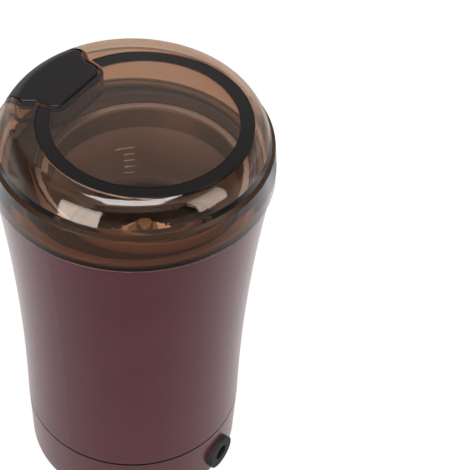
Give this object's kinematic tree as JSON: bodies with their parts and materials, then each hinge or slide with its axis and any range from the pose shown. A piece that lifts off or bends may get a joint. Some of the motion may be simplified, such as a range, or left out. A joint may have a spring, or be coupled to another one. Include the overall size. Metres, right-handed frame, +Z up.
{
  "type": "electric coffee grinder",
  "caption": "Upright blade coffee grinder with a flared plastic housing, a lift-off smoked clear lid with a press button, a steel bowl, a spinning blade and a motor inside.",
  "frame": {"origin": "middle of the table face under the rubber feet, on the axis of the housing and the lid", "axes": "+Z up along the housing's axis, -Y towards the press button, +Y towards the cord inlet, +X to the right seen from the button side"},
  "size_m": [0.0976, 0.0976, 0.1696],
  "materials": {
    "burgundy_plastic": "satin moulded plastic",
    "smoked_clear": "clear smoked brown plastic, polished",
    "black_plastic": "satin black plastic",
    "bowl_steel": "drawn stainless steel, satin",
    "blade_steel": "ground stainless steel",
    "shaft_steel": "ground steel",
    "screw_steel": "bright zinc plated",
    "lamination_steel": "stacked steel sheet, dark",
    "copper_wire": "enamelled copper wire",
    "commutator_copper": "turned copper",
    "bearing_bronze": "sintered bronze",
    "holder_brass": "folded brass sheet",
    "brush_carbon": "pressed carbon",
    "black_rubber": "soft black rubber",
    "seal_silicone": "translucent silicone",
    "carrier_plastic": "dark grey moulded plastic",
    "fan_plastic": "natural moulded plastic",
    "switch_plastic": "black moulded plastic",
    "spring_steel": "drawn spring wire"
  },
  "bodies": {
    "housing": {"housing_shell": "burgundy_plastic", "base_cover": "burgundy_plastic", "base_screws": "screw_steel", "rubber_feet": "black_rubber", "cord_gland": "black_rubber", "grinding_bowl": "bowl_steel", "rim_seal": "seal_silicone", "bowl_cushion": "black_rubber", "bowl_bush": "bearing_bronze", "motor_carrier": "carrier_plastic", "carrier_screws": "screw_steel", "upper_bush": "bearing_bronze", "stator_core": "lamination_steel", "field_coils": "copper_wire", "lower_bracket": "carrier_plastic", "lower_bush": "bearing_bronze", "motor_screws": "screw_steel", "brush_holders": "holder_brass", "carbon_brushes": "brush_carbon", "micro_switch": "switch_plastic", "plunger_boot": "black_rubber"},
    "rotor": {"motor_shaft": "shaft_steel", "armature_core": "lamination_steel", "armature_winding": "copper_wire", "commutator": "commutator_copper", "cooling_fan": "fan_plastic", "thrust_washers": "shaft_steel", "blade_collar": "black_plastic", "grinding_blade": "blade_steel", "blade_nut": "screw_steel"},
    "plunger": {"switch_plunger": "black_plastic"},
    "lid": {"lid_shell": "smoked_clear", "trim_ring": "black_plastic", "button_spring": "spring_steel"},
    "button": {"switch_button": "black_plastic", "push_rod": "black_plastic"}
  },
  "joints": [
    {"name": "lid_lift", "type": "slide", "parent": "housing", "child": "lid", "axis": [0, 0, 1], "range_m": [0, 0.06]},
    {"name": "button_press", "type": "slide", "parent": "lid", "child": "button", "axis": [0, 0, -1], "range_m": [0, 0.003], "stiffness_N_per_m": 400, "springref_m": -0.004, "deforming": ["button_spring"]},
    {"name": "switch_press", "type": "slide", "parent": "housing", "child": "plunger", "axis": [0, 0, -1], "range_m": [0, 0.003], "stiffness_N_per_m": 200, "springref_m": -0.003},
    {"name": "rotor_spin", "type": "hinge", "parent": "housing", "child": "rotor", "pos_m": [0, 0.0048, 0], "axis": [0, 0, 1], "continuous": true}
  ],
  "couplings": [
    {"joint": "switch_press", "follows": "button_press", "ratio": 1}
  ]
}
